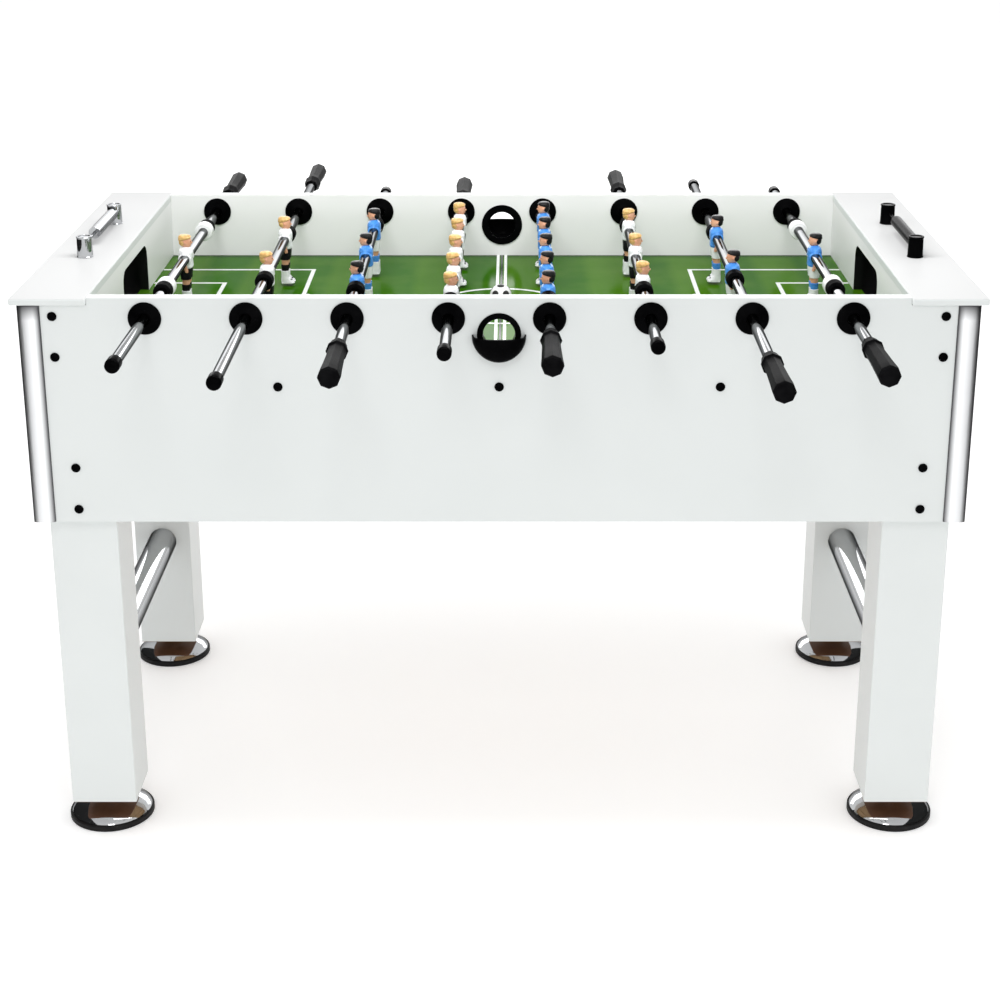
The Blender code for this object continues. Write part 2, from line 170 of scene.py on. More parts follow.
finishes = {
    "laminate": {
        "colour": (0.676, 0.702, 0.694), "tint": (0.660, 0.687, 0.679), "patch": 4,
        "rough": (0.34, 0.44), "grain": 900, "bump": 0.05, "shine": 0.3,
    },
    # painted shade: the rail's top face takes this darker white, while its edges keep the laminate colour
    "railTopShaded": {
        "colour": (0.610, 0.613, 0.613), "tint": (0.598, 0.602, 0.602), "patch": 5,
        "rough": (0.40, 0.50), "grain": 900, "bump": 0.05, "shine": 0.01,
    },
    "legWhite": {
        "colour": (0.676, 0.702, 0.694), "tint": (0.660, 0.687, 0.679), "patch": 6,
        "rough": (0.32, 0.42), "grain": 900, "bump": 0.05,
    },
    "chrome": {
        "colour": (0.62, 0.63, 0.64), "tint": (0.56, 0.57, 0.585), "patch": 14, "metal": 1.0, "rim": 0.25,
        "rough": (0.05, 0.11), "grain": 260, "bump": 0.012, "stretch": (1.0, 0.06, 1.0),
    },
    "steelRod": {
        "colour": (0.80, 0.81, 0.82), "tint": (0.72, 0.73, 0.74), "patch": 20, "metal": 1.0, "rim": 0.06,
        "rough": (0.05, 0.11), "grain": 420, "bump": 0.012, "stretch": (1.0, 0.04, 1.0),
    },
    "aluminium": {
        "colour": (0.90, 0.91, 0.92), "tint": (0.86, 0.87, 0.88), "patch": 30, "metal": 1.0,
        "rough": (0.34, 0.44), "grain": 700, "bump": 0.015, "stretch": (1.0, 1.0, 0.03),
    },
    "gripRubber": {
        "colour": (0.0030, 0.0030, 0.0034), "tint": (0.0060, 0.0060, 0.0066), "patch": 60,
        "rough": (0.30, 0.42), "grain": 1500, "bump": 0.10, "shine": 0.006,
    },
    "blackGloss": {
        "colour": (0.0010, 0.0010, 0.0012), "tint": (0.0024, 0.0024, 0.0027), "patch": 40,
        "rough": (0.12, 0.22), "grain": 1100, "bump": 0.04, "shine": 0.008,
    },
    "blackMatte": {
        "colour": (0.0020, 0.0020, 0.0023), "tint": (0.0050, 0.0050, 0.0055), "patch": 50,
        "rough": (0.42, 0.58), "grain": 1300, "bump": 0.10, "shine": 0.01,
    },
    "soleRubber": {
        "colour": (0.006, 0.006, 0.0065), "tint": (0.013, 0.012, 0.012), "patch": 45,
        "rough": (0.48, 0.64), "grain": 900, "bump": 0.12, "shine": 0.15,
    },
    "collarWhite": {
        "colour": (0.86, 0.87, 0.87), "tint": (0.80, 0.81, 0.81), "patch": 60,
        "rough": (0.24, 0.34), "grain": 1200, "bump": 0.03,
    },
    "skin": {
        "colour": (0.780, 0.420, 0.270), "tint": (0.700, 0.330, 0.200), "patch": 160,
        "rough": (0.34, 0.46), "grain": 1500, "bump": 0.03,
    },
    "blondHair": {
        "colour": (0.760, 0.500, 0.190), "tint": (0.520, 0.290, 0.080), "patch": 260,
        "rough": (0.34, 0.48), "grain": 1300, "bump": 0.10, "stretch": (1.0, 0.35, 1.0),
    },
    "blackHair": {
        "colour": (0.006, 0.006, 0.0065), "tint": (0.016, 0.015, 0.016), "patch": 260,
        "rough": (0.24, 0.36), "grain": 1300, "bump": 0.10, "shine": 0.12, "stretch": (1.0, 0.35, 1.0),
    },
    "whitePaint": {
        "colour": (0.86, 0.87, 0.88), "tint": (0.78, 0.79, 0.81), "patch": 120,
        "rough": (0.26, 0.38), "grain": 1300, "bump": 0.03,
    },
    "bluePaint": {
        "colour": (0.075, 0.300, 0.780), "tint": (0.045, 0.220, 0.650), "patch": 120,
        "rough": (0.22, 0.34), "grain": 1300, "bump": 0.03,
    },
    "blackPaint": {
        "colour": (0.004, 0.004, 0.005), "tint": (0.010, 0.010, 0.012), "patch": 120,
        "rough": (0.26, 0.40), "grain": 1300, "bump": 0.03, "shine": 0.1,
    },
    "ballWhite": {
        "colour": (0.88, 0.88, 0.87), "tint": (0.80, 0.80, 0.79), "patch": 150,
        "rough": (0.26, 0.38), "grain": 1600, "bump": 0.04,
    },
    "lineWhite": {
        "colour": (0.88, 0.90, 0.88), "tint": (0.80, 0.83, 0.80), "patch": 70,
        "rough": (0.22, 0.32), "grain": 900, "bump": 0.02,
    },
    "lineGap": {
        "colour": (0.008, 0.022, 0.012), "tint": (0.014, 0.034, 0.016), "patch": 70,
        "rough": (0.22, 0.32), "grain": 900, "bump": 0.02,
    },
}
finishDefaults = {"metal": 0.0, "stretch": (1.0, 1.0, 1.0), "shine": 0.5, "rim": 1.0}


def addNode(tree, kind, inputs=None, **settings):
    node = tree.nodes.new(kind)
    for name, value in settings.items():
        setattr(node, name, value)
    for name, value in (inputs or {}).items():
        if isinstance(value, bpy.types.NodeSocket):
            tree.links.new(value, node.inputs[name])
        else:
            node.inputs[name].default_value = value
    return node


def worked(tree, operation, *values):
    return addNode(tree, "ShaderNodeMath", dict(enumerate(values)), operation=operation).outputs[0]


def ranged(tree, value, low, high, start=0.0, end=1.0):
    inputs = {"Value": value, "From Min": low, "From Max": high, "To Min": start, "To Max": end}
    return addNode(tree, "ShaderNodeMapRange", inputs).outputs["Result"]


def mixColour(tree, share, first, second):
    mixer = addNode(tree, "ShaderNodeMix", data_type="RGBA")
    for socket, value in ((mixer.inputs[0], share), (mixer.inputs[6], first), (mixer.inputs[7], second)):
        if isinstance(value, bpy.types.NodeSocket):
            tree.links.new(value, socket)
        else:
            socket.default_value = value
    return mixer.outputs[2]


def startMaterial(name):
    material = bpy.data.materials.new(name)
    material.use_nodes = True
    tree = material.node_tree
    place = addNode(tree, "ShaderNodeTexCoord").outputs["Object"]
    return material, tree, tree.nodes["Principled BSDF"], place


def stretchedPlace(tree, place, look):
    return addNode(tree, "ShaderNodeMapping", {"Vector": place, "Scale": look["stretch"]}).outputs["Vector"]


# noise runs close about one half, so these ranges stretch it over its whole effect
noiseLook = {"patchRange": (0.35, 0.65), "grainRange": (0.3, 0.7), "bumpDepth": 0.0006}


def patchedColour(tree, place, look):
    cloud = addNode(tree, "ShaderNodeTexNoise", {"Vector": place, "Scale": look["patch"], "Detail": 4.0})
    spread = ranged(tree, cloud.outputs["Fac"], *noiseLook["patchRange"])
    return mixColour(tree, spread, (*look["colour"], 1), (*look["tint"], 1))


def grainedSurface(tree, shader, place, look):
    grain = addNode(tree, "ShaderNodeTexNoise", {"Vector": place, "Scale": look["grain"], "Detail": 3.0})
    rough = ranged(tree, grain.outputs["Fac"], *noiseLook["grainRange"], *look["rough"])
    tree.links.new(rough, shader.inputs["Roughness"])
    bump = addNode(
        tree, "ShaderNodeBump",
        {"Height": grain.outputs["Fac"], "Strength": look["bump"], "Distance": noiseLook["bumpDepth"]},
    )
    tree.links.new(bump.outputs["Normal"], shader.inputs["Normal"])


def makeFinish(name):
    look = {**finishDefaults, **finishes[name]}
    material, tree, shader, place = startMaterial(name)
    stretched = stretchedPlace(tree, place, look)
    tree.links.new(patchedColour(tree, stretched, look), shader.inputs["Base Color"])
    grainedSurface(tree, shader, stretched, look)
    shader.inputs["Metallic"].default_value = look["metal"]
    shader.inputs["Specular IOR Level"].default_value = look["shine"]
    shader.inputs["Specular Tint"].default_value = (look["rim"], look["rim"], look["rim"], 1)
    return material


finish = {name: makeFinish(name) for name in finishes}


def maskAbove(tree, place, axis, level, soft):
    axes = addNode(tree, "ShaderNodeSeparateXYZ", {"Vector": place})
    return ranged(tree, axes.outputs[axis], level - soft, level + soft)


def fibreColour(tree, place, look):
    fibres = addNode(tree, "ShaderNodeTexNoise", {"Vector": place, "Scale": look["fibres"], "Detail": 5.0})
    return mixColour(tree, fibres.outputs["Fac"], (*look["board"], 1), (*look["boardTint"], 1))


rawBoard = {
    "board": (0.235, 0.105, 0.050), "boardTint": (0.120, 0.050, 0.022), "fibres": 420, "depth": 0.0011,
}
plainBoard = {"board": (0.42, 0.29, 0.17), "boardTint": (0.30, 0.19, 0.10), "fibres": 300}


def maskWithin(tree, value, low, high):
    size = worked(tree, "ABSOLUTE", value)
    return worked(tree, "COMPARE", size, (low + high) / 2, (high - low) / 2)


# the pocket behind each goal mouth is black: reach along and across the table, in metres
pocketLook = {"along": (0.5903, 0.6722), "across": 0.1105, "black": (0.004, 0.004, 0.0045, 1)}


def makeGoalFinish(name):
    look = {**finishDefaults, **finishes["laminate"]}
    material, tree, shader, place = startMaterial(name)
    axes = addNode(tree, "ShaderNodeSeparateXYZ", {"Vector": place})
    along = maskWithin(tree, axes.outputs["X"], *pocketLook["along"])
    across = maskWithin(tree, axes.outputs["Y"], -pocketLook["across"], pocketLook["across"])
    pocket = worked(tree, "MULTIPLY", along, across)
    # painted light: the goal end's faces inside the table take the lighter inner white
    inside = maskWithin(tree, axes.outputs["X"], 0.0, paintedLightLook["end"])
    white = mixColour(tree, inside, patchedColour(tree, place, look), paintedLightLook["colour"])
    tree.links.new(mixColour(tree, pocket, white, pocketLook["black"]), shader.inputs["Base Color"])
    shader.inputs["Specular IOR Level"].default_value = look["shine"]
    grainedSurface(tree, shader, place, look)
    return material


# painted light: the cabinet's inner faces are painted a lighter white than the outside, standing in for light
# the enclosed walls don't get, and the rail's painted-darker top starts topDepth below its top; side and end
# are how far the inner faces lie from the table's middle, in metres
paintedLightLook = {"colour": (0.836, 0.836, 0.838, 1), "side": 0.3405, "end": 0.5907, "topDepth": 0.0007}


def makePanelFinish(name):
    look = {**finishDefaults, **finishes["laminate"]}
    material, tree, shader, place = startMaterial(name)
    axes = addNode(tree, "ShaderNodeSeparateXYZ", {"Vector": place})
    # painted light: the side panel's faces inside the table take the lighter inner white
    inside = maskWithin(tree, axes.outputs["Y"], 0.0, paintedLightLook["side"])
    white = patchedColour(tree, place, look)
    tree.links.new(mixColour(tree, inside, white, paintedLightLook["colour"]), shader.inputs["Base Color"])
    shader.inputs["Specular IOR Level"].default_value = look["shine"]
    grainedSurface(tree, shader, place, look)
    return material


def makeRailFinish(name, railTop):
    look = {**finishDefaults, **finishes["railTopShaded"]}
    material, tree, shader, place = startMaterial(name)
    edging = patchedColour(tree, place, {**look, **finishes["laminate"]})
    # painted shade: above this depth the rail's top gets the darker white, holding back the stronger light
    # the top catches
    top = maskAbove(tree, place, "Z", railTop - paintedLightLook["topDepth"], hairline)
    colour = mixColour(tree, top, edging, patchedColour(tree, place, look))
    tree.links.new(colour, shader.inputs["Base Color"])
    shader.inputs["Specular IOR Level"].default_value = look["shine"]
    grainedSurface(tree, shader, place, look)
    return material


def makeLegFinish(name, legBottom):
    look = {**finishDefaults, **finishes["legWhite"]}
    material, tree, shader, place = startMaterial(name)
    white = patchedColour(tree, place, look)
    raw = fibreColour(tree, place, rawBoard)
    laminated = maskAbove(tree, place, "Z", legBottom + rawBoard["depth"], hairline)
    tree.links.new(mixColour(tree, laminated, raw, white), shader.inputs["Base Color"])
    grainedSurface(tree, shader, place, look)
    return material


turfLook = {
    "light": (0.050, 0.150, 0.004), "dark": (0.026, 0.118, 0.001), "worn": (0.090, 0.190, 0.020),
    "edge": (0.008, 0.040, 0.003), "wallShadeWidth": 0.028, "wallShadeShare": 0.85,
    "stripe": 0.0737, "stripeEdge": 0.35, "wornRange": (0.45, 0.85), "wornShare": 0.75,
    "fleckRange": (0.50, 0.78), "fleckShare": 0.60, "printDepth": 0.0005,
    "blades": 620, "patch": 8, "rough": (0.10, 0.18), "grain": 620, "bump": 0.03, "shine": 0.02,
}


def makeTurf(name, boardTop, boardSide):
    material, tree, shader, place = startMaterial(name)
    look = turfLook
    axes = addNode(tree, "ShaderNodeSeparateXYZ", {"Vector": place})
    wave = worked(tree, "SINE", worked(tree, "MULTIPLY", axes.outputs["X"], math.pi / look["stripe"]))
    stripes = ranged(tree, wave, -look["stripeEdge"], look["stripeEdge"])
    mown = mixColour(tree, stripes, (*look["dark"], 1), (*look["light"], 1))
    cloud = addNode(tree, "ShaderNodeTexNoise", {"Vector": place, "Scale": look["patch"], "Detail": 6.0})
    blotch = ranged(tree, cloud.outputs["Fac"], *look["wornRange"], 0.0, look["wornShare"])
    mown = mixColour(tree, blotch, mown, (*look["worn"], 1))
    blades = addNode(
        tree, "ShaderNodeTexNoise",
        {"Vector": place, "Scale": look["blades"], "Detail": 4.0, "Roughness": 0.7},
    )
    flecks = ranged(tree, blades.outputs["Fac"], *look["fleckRange"], 0.0, look["fleckShare"])
    mown = mixColour(tree, flecks, mown, (*look["dark"], 1))
    # painted shade: the turf darkens towards the long side walls, where the walls shade it
    sideways = worked(tree, "ABSOLUTE", axes.outputs["Y"])
    rim = ranged(tree, sideways, boardSide - look["wallShadeWidth"], boardSide, 0.0, look["wallShadeShare"])
    mown = mixColour(tree, rim, mown, (*look["edge"], 1))
    raw = fibreColour(tree, place, plainBoard)
    shader.inputs["Specular IOR Level"].default_value = look["shine"]
    printed = maskAbove(tree, place, "Z", boardTop - look["printDepth"], hairline)
    tree.links.new(mixColour(tree, printed, raw, mown), shader.inputs["Base Color"])
    grainedSurface(tree, shader, place, look)
    return material


# painted shade on the aluminium strips: they are painted darker towards both long edges, standing in for the
# dark reflections along the bulge, and darker at the top, a painted shadow under the rail; middle and reach
# along the table, in metres
stripPaintedShade = {
    "middle": 0.6735, "reach": 0.0162, "bright": 0.0075, "face": 0.3603, "edge": (0.10, 0.10, 0.105, 1),
    "returnMetal": 0.3, "topFade": 0.011, "railShadowColour": (0.10, 0.10, 0.105, 1),
}


def makeStripFinish(name, stripTop):
    look = {**finishDefaults, **finishes["aluminium"]}
    material, tree, shader, place = startMaterial(name)
    stretched = stretchedPlace(tree, place, look)
    axes = addNode(tree, "ShaderNodeSeparateXYZ", {"Vector": place})
    offset = worked(tree, "SUBTRACT", worked(tree, "ABSOLUTE", axes.outputs["X"]), stripPaintedShade["middle"])
    fade = ranged(tree, worked(tree, "ABSOLUTE", offset), stripPaintedShade["bright"], stripPaintedShade["reach"])
    bulge = worked(tree, "GREATER_THAN", worked(tree, "ABSOLUTE", axes.outputs["Y"]), stripPaintedShade["face"])
    shaded = worked(tree, "MULTIPLY", fade, bulge)
    # painted shade: the bulge's colour fades to the dark edge colour towards both long edges
    metal = mixColour(tree, shaded, patchedColour(tree, stretched, look), stripPaintedShade["edge"])
    # painted shadow: the strip's top fades to a dark colour where the rail above shades it
    top = maskAbove(tree, place, "Z", stripTop - stripPaintedShade["topFade"], stripPaintedShade["topFade"])
    tree.links.new(mixColour(tree, top, metal, stripPaintedShade["railShadowColour"]), shader.inputs["Base Color"])
    gloss = ranged(tree, bulge, 0.0, 1.0, stripPaintedShade["returnMetal"])
    tree.links.new(gloss, shader.inputs["Metallic"])
    grainedSurface(tree, shader, stretched, look)
    return material


finish["cornerStrip"] = makeStripFinish("cornerStrip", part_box("left_top_rail")[0].z)


def paintNode(node, material):
    slots = frame["nodes"][node].data.materials
    slots.clear()
    slots.append(material)


def paintCabinet():
    panelFinish = makePanelFinish("panelLaminate")
    for node in ("front_side_panel", "back_side_panel"):
        paintNode(node, panelFinish)
    goalFinish = makeGoalFinish("goalLaminate")
    for node in ("left_goal_end", "right_goal_end"):
        paintNode(node, goalFinish)
    railFinish = makeRailFinish("railLaminate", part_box("left_top_rail")[1].z)
    for node in ("left_top_rail", "right_top_rail"):
        paintNode(node, railFinish)
    legFinish = makeLegFinish("legLaminate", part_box("front_left_leg")[0].z)
    for node in frame["nodes"]:
        if node.endswith("_leg"):
            paintNode(node, legFinish)
    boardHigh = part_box("playfield_board")[1]
    paintNode("playfield_board", makeTurf("printedTurf", boardHigh.z, boardHigh.y))


paintCabinet()
print("cabinet painted")


def startShape():
    return bmesh.new()


def turned(profile, steps=48, closed=False):
    shape = startShape()
    points = [shape.verts.new((radius, 0, height)) for radius, height in profile]
    lines = [shape.edges.new(pair) for pair in zip(points, points[1:])]
    if closed:
        lines.append(shape.edges.new((points[-1], points[0])))
    bmesh.ops.spin(
        shape, geom=points + lines, axis=(0, 0, 1), cent=(0, 0, 0), angle=math.tau, steps=steps,
        use_merge=True,
    )
    bmesh.ops.remove_doubles(shape, verts=shape.verts, dist=hairline)
    bmesh.ops.recalc_face_normals(shape, faces=shape.faces)
    return shape


def block(low, high, soft=0.0, segments=2):
    shape = startShape()
    low, high = Vector(low), Vector(high)
    stretch = Matrix.Diagonal((*(high - low), 1))
    bmesh.ops.create_cube(shape, size=1, matrix=Matrix.Translation((low + high) / 2) @ stretch)
    if soft:
        bmesh.ops.bevel(
            shape, geom=shape.edges[:], offset=soft, segments=segments, profile=0.5, affect="EDGES",
            material=-1,
        )
    return shape


def egg(middle, radii, across=16, down=10):
    shape = startShape()
    place = Matrix.Translation(middle) @ Matrix.Diagonal((*radii, 1))
    bmesh.ops.create_uvsphere(shape, u_segments=across, v_segments=down, radius=1, matrix=place)
    return shape


def grown(sections, sides=16):
    # a section is height, middle x, middle y, half width x, half width y, and 1 for oval, less for square
    shape = startShape()
    bmesh.ops.create_circle(shape, cap_ends=True, radius=1, segments=sides)
    shape.faces.ensure_lookup_table()
    end = shape.faces[0]
    angles = [math.atan2(corner.co.y, corner.co.x) for corner in end.verts]
    for number, (height, x, y, halfX, halfY, square) in enumerate(sections):
        if number:
            made = bmesh.ops.extrude_face_region(shape, geom=[end])["geom"]
            end = next(item for item in made if isinstance(item, bmesh.types.BMFace))
        for corner, angle in zip(end.verts, angles):
            across, along = math.cos(angle), math.sin(angle)
            corner.co = (
                x + halfX * math.copysign(abs(across) ** square, across),
                y + halfY * math.copysign(abs(along) ** square, along),
                height,
            )
    bmesh.ops.recalc_face_normals(shape, faces=shape.faces)
    return shape


def openFrame(width, height, band, thick, corner):
    shape = block((-width / 2, -height / 2, 0), (width / 2, height / 2, thick))
    upright = [edge for edge in shape.edges if abs(edge.verts[0].co.z - edge.verts[1].co.z) > thick / 2]
    bmesh.ops.bevel(
        shape, geom=upright, offset=corner, segments=5, profile=0.5, affect="EDGES", material=-1
    )
    flat = [face for face in shape.faces if abs(face.normal.z) > 0.9]
    bmesh.ops.inset_individual(shape, faces=flat, thickness=band)
    loops = [edge for face in flat for edge in face.edges]
    bmesh.ops.delete(shape, geom=flat, context="FACES_ONLY")
    bmesh.ops.bridge_loops(shape, edges=loops)
    bmesh.ops.recalc_face_normals(shape, faces=shape.faces)
    return shape


def join(target, part, place=upright, material=0):
    for face in part.faces:
        face.material_index = material
    bmesh.ops.transform(part, matrix=place, verts=part.verts)
    if place.determinant() < 0:
        bmesh.ops.reverse_faces(part, faces=part.faces)
    step = bpy.data.meshes.new("joinStep")
    part.to_mesh(step)
    part.free()
    target.from_mesh(step)
    bpy.data.meshes.remove(step)


def finishMesh(name, shape, materials, smoothAngle):
    mesh = bpy.data.meshes.new(name)
    shape.to_mesh(mesh)
    shape.free()
    for material in materials:
        mesh.materials.append(finish[material])
    mesh.shade_smooth()
    mesh.set_sharp_from_angle(angle=math.radians(smoothAngle))
    return mesh


def showPiece(name, mesh, body, replaced=()):
    piece = bpy.data.objects.new(name, mesh)
    bpy.context.scene.collection.objects.link(piece)
    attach(piece, body)
    if replaced:
        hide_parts(*replaced)
    return piece


def addPiece(name, shape, materials, body, replaced=(), smoothAngle=35):
    return showPiece(name, finishMesh(name, shape, materials, smoothAngle), body, replaced)


def shifted(place, turn=upright, scale=milli):
    return Matrix.Translation(place) @ turn @ Matrix.Diagonal((scale, scale, scale, 1))


# profiles of the rods' pieces are radius and height in millimetres
tubeLook = {"radius": 7.95, "wall": 1.5, "chamfer": 0.6, "capReach": 0.021}
gripLook = {"sides": 8, "bevel": 0.5, "leastAngle": 30}
gripProfile = (
    (0, 4), (8.9, 4), (8.9, 0), (11.0, 0), (11.8, 1.2), (12.6, 8), (13.7, 16), (15.4, 25), (15.6, 27),
    (13.2, 29.5), (12.9, 32), (13.2, 60), (14.4, 108), (15.6, 139), (15.4, 145), (13.4, 149),
    (12.2, 149.7), (11.6, 149.0), (0, 148.6),
)
capProfile = (
    (0, 2.1), (8.15, 2.1), (8.15, 0), (9.5, 0), (10.2, 0.8), (10.3, 18.5), (9.9, 21.4), (8.4, 23.3),
    (6.0, 24), (0, 24),
)
bearingProfile = (
    (8.3, 0.1), (24.0, 0.1), (24.0, 1.5), (23.5, 2.4), (22.4, 2.8), (15.0, 4.0), (12.0, 4.9), (10.9, 5.5),
    (9.2, 5.6), (8.3, 5.2),
)
bumperLook = {
    "near": 23.5, "far": 44.5, "radius": 13.8, "groove": 12.2, "ribs": 5, "bore": 8.2,
    "lead": 0.1, "slope": 0.8,
}
collarProfile = ((8.2, 0), (13.6, 0), (15.0, 1.2), (15.0, 20.4), (13.6, 21.6), (8.2, 21.6))
goalieStops = {"collar": 176.0, "bumper": 198.5}


def bumperProfile():
    look = bumperLook
    rib = (look["far"] - look["near"]) / look["ribs"]
    points = [(look["bore"], 0)]
    for number in range(look["ribs"]):
        start = number * rib
        end, lead, slope = start + rib, look["lead"], look["slope"]
        points += [(look["groove"], start + lead), (look["radius"], start + slope)]
        points += [(look["radius"], end - slope), (look["groove"], end - lead)]
    return points + [(look["bore"], look["ribs"] * rib)]


def bevelRidges(shape, width, least):
    sharp = math.radians(least)
    ridges = [edge for edge in shape.edges if edge.is_manifold and edge.calc_face_angle(0) > sharp]
    bmesh.ops.bevel(
        shape, geom=ridges, offset=width, segments=2, profile=0.5, affect="EDGES", material=-1,
        clamp_overlap=True,
    )


def gripShape():
    shape = turned(gripProfile, steps=gripLook["sides"])
    bevelRidges(shape, gripLook["bevel"], gripLook["leastAngle"])
    return shape


def buildRod(rod):
    low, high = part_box(f"{rod}_tube")
    gripLow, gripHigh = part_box(f"{rod}_grip")
    x, z = (low.x + high.x) / 2, (low.z + high.z) / 2
    slideBody, turnBody = f"{rod}_slide", f"{rod}_turn"
    length = (high.y - low.y) / milli
    outer, inner, chamfer = tubeLook["radius"], tubeLook["radius"] - tubeLook["wall"], tubeLook["chamfer"]
    profile = (
        (inner, 0), (outer - chamfer, 0), (outer, chamfer),
        (outer, length - chamfer), (outer - chamfer, length), (inner, length),
    )
    tube = startShape()
    join(tube, turned(profile, closed=True), shifted((x, low.y, z), toBack))
    addPiece(f"{rod}_steel_tube", tube, ["steelRod"], slideBody, [f"{rod}_tube"])

    gripInFront = gripLow.y < low.y
    grip = startShape()
    if gripInFront:
        join(grip, gripShape(), shifted((x, gripHigh.y, z), toFront))
    else:
        join(grip, gripShape(), shifted((x, gripLow.y, z), toBack))
    addPiece(f"{rod}_rubber_grip", grip, ["gripRubber"], turnBody, [f"{rod}_grip"], 12)
    cap = startShape()
    if gripInFront:
        join(cap, turned(capProfile), shifted((x, high.y - tubeLook["capReach"], z), toBack))
    else:
        join(cap, turned(capProfile), shifted((x, low.y + tubeLook["capReach"], z), toFront))
    addPiece(f"{rod}_end_cap", cap, ["blackGloss"], turnBody)

    players = sorted(name for name in frame["nodes"] if name.startswith(f"{rod}_player_"))
    places = [sum((corner.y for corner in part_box(name)), 0.0) / 2 for name in players]
    for side, turn, middle in (("front", toFront, min(places)), ("back", toBack, max(places))):
        outward = -1 if side == "front" else 1
        bumper = startShape()
        if len(players) == 1:
            collar = startShape()
            place = (x, middle + outward * goalieStops["collar"] * milli, z)
            join(collar, turned(collarProfile, closed=True), shifted(place, turn))
            addPiece(f"{rod}_{side}_collar", collar, ["collarWhite"], turnBody)
            near = goalieStops["bumper"] * milli
        else:
            near = bumperLook["near"] * milli
        place = (x, middle + outward * near, z)
        join(bumper, turned(bumperProfile(), steps=32, closed=True), shifted(place, turn))
        addPiece(f"{rod}_{side}_bumper", bumper, ["blackMatte"], turnBody)

    for side, panel, outside in (("front", "front_side_panel", toFront), ("back", "back_side_panel", toBack)):
        panelLow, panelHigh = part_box(panel)
        faces = (panelLow.y, panelHigh.y) if side == "front" else (panelHigh.y, panelLow.y)
        inside = toBack if side == "front" else toFront
        for word, face, turn in (("outer", faces[0], outside), ("inner", faces[1], inside)):
            bearing = startShape()
            join(bearing, turned(bearingProfile, closed=True), shifted((x, face, z), turn))
            addPiece(f"{rod}_{side}_{word}_bearing", bearing, ["blackGloss"], "root")


for rod in rodNames:
    buildRod(rod)
print("rods built")


# a player is in millimetres about the rod's axis, facing +X
skinPart, hairPart, shirtPart, shortsPart, socksPart, bootsPart, darkPart = range(7)
teamColours = {
    "white_plastic": [
        "skin", "blondHair", "whitePaint", "blackPaint", "blackPaint", "whitePaint", "blackPaint",
    ],
    "blue_plastic": ["skin", "blackHair", "bluePaint", "whitePaint", "bluePaint", "whitePaint", "blackPaint"],
}
torsoSections = (
    (-15.0, 0, 0, 10.6, 14.2, 0.80), (-13.0, 0, 0, 11.2, 14.9, 0.78), (-4, 0, 0, 10.8, 14.4, 0.80),
    (4, 0.2, 0, 11.5, 15.2, 0.78), (10, 0.2, 0, 11.4, 15.6, 0.80), (14.5, 0, 0, 9.8, 14.4, 0.85),
    (17.2, -0.2, 0, 7.0, 9.6, 0.95), (18.8, -0.2, 0, 5.2, 6.0, 1),
)
hipSections = ((-27, 0, 0, 9.2, 13.4, 0.8), (-20, 0, 0, 10.0, 14.2, 0.75), (-12, 0, 0, 10.2, 14.0, 0.75))
hubProfile = ((8.2, -16.4), (9.6, -16.4), (10.3, -15.6), (10.3, 15.6), (9.6, 16.4), (8.2, 16.4))
headSections = (
    (17.2, 2.8, 0, 3.0, 2.8, 0.9), (18.2, 2.1, 0, 5.6, 4.8, 0.9), (20.8, 1.2, 0, 8.0, 6.9, 0.95),
    (24.5, 0.6, 0, 9.3, 8.1, 1), (28.5, 0.2, 0, 9.7, 8.5, 1), (32.2, 0, 0, 9.0, 8.0, 1),
    (35.2, -0.3, 0, 6.8, 6.2, 1), (36.8, -0.4, 0, 3.2, 3.0, 1),
)
neckSections = ((15, -0.2, 0, 4.7, 4.7, 1), (21, 0.2, 0, 4.4, 4.4, 1))
soleBlock = ((-7.5, -11.8, -75.4), (11.5, 11.8, -72.6), 0.9)
# features of the face: middle, radii, and faces across and down
faceLook = {
    "ear": ((0.2, 8.5, 26.2), (1.8, 0.9, 2.5), 10, 8),
    "eye": ((9.2, 3.0, 27.6), (0.8, 1.1, 0.8), 10, 6),
    "nose": ((10.0, 0, 25.2), (1.7, 1.1, 1.8), 12, 8),
    "mouth": ((9.0, 0, 21.6), (0.7, 2.1, 0.4), 12, 6),
}
hairLook = {
    "crown": (
        (30.4, -1.4, 0, 8.2, 8.0, 0.90), (31.0, -0.9, 0, 9.9, 9.0, 0.86), (32.4, -0.6, 0, 10.5, 9.5, 0.84),
        (34.6, -0.6, 0, 10.2, 9.2, 0.86), (36.6, -0.8, 0, 8.9, 8.0, 0.92), (37.7, -0.9, 0, 6.6, 5.8, 1),
        (38.0, -0.9, 0, 3.4, 3.0, 1),
    ),
    "nape": (-3.4, 0, 26.4), "napeRadii": (7.0, 8.6, 7.6), "lock": 0.018, "locks": 11, "twist": 0.9,
    "slant": 0.20, "slantBelow": 33.0,
}


def bootSections(side):
    y = side * 6.3
    return (
        (-75.4, 2.6, y, 10.6, 5.4, 0.7), (-74.2, 2.8, y, 11.5, 6.0, 0.7), (-71.4, 2.0, y, 10.9, 5.9, 0.75),
        (-67.4, -0.2, y, 8.6, 5.8, 0.8), (-63.6, -1.5, y, 7.0, 5.8, 0.9), (-56, -1.5, y, 6.9, 6.0, 1),
        (-53.6, -1.4, y, 7.2, 6.2, 1), (-53.0, -1.4, y, 6.4, 5.6, 1),
    )


def sockSections(side):
    y = side * 6.5
    return (
        (-54.6, -1.3, y, 5.6, 5.0, 1), (-51, -1.2, y, 6.4, 5.8, 1), (-46.0, -1.0, y, 6.6, 6.0, 1),
        (-45.6, -1.0, y, 7.0, 6.3, 1), (-43.0, -0.9, y, 7.0, 6.3, 1), (-42.4, -0.9, y, 6.2, 5.6, 1),
    )


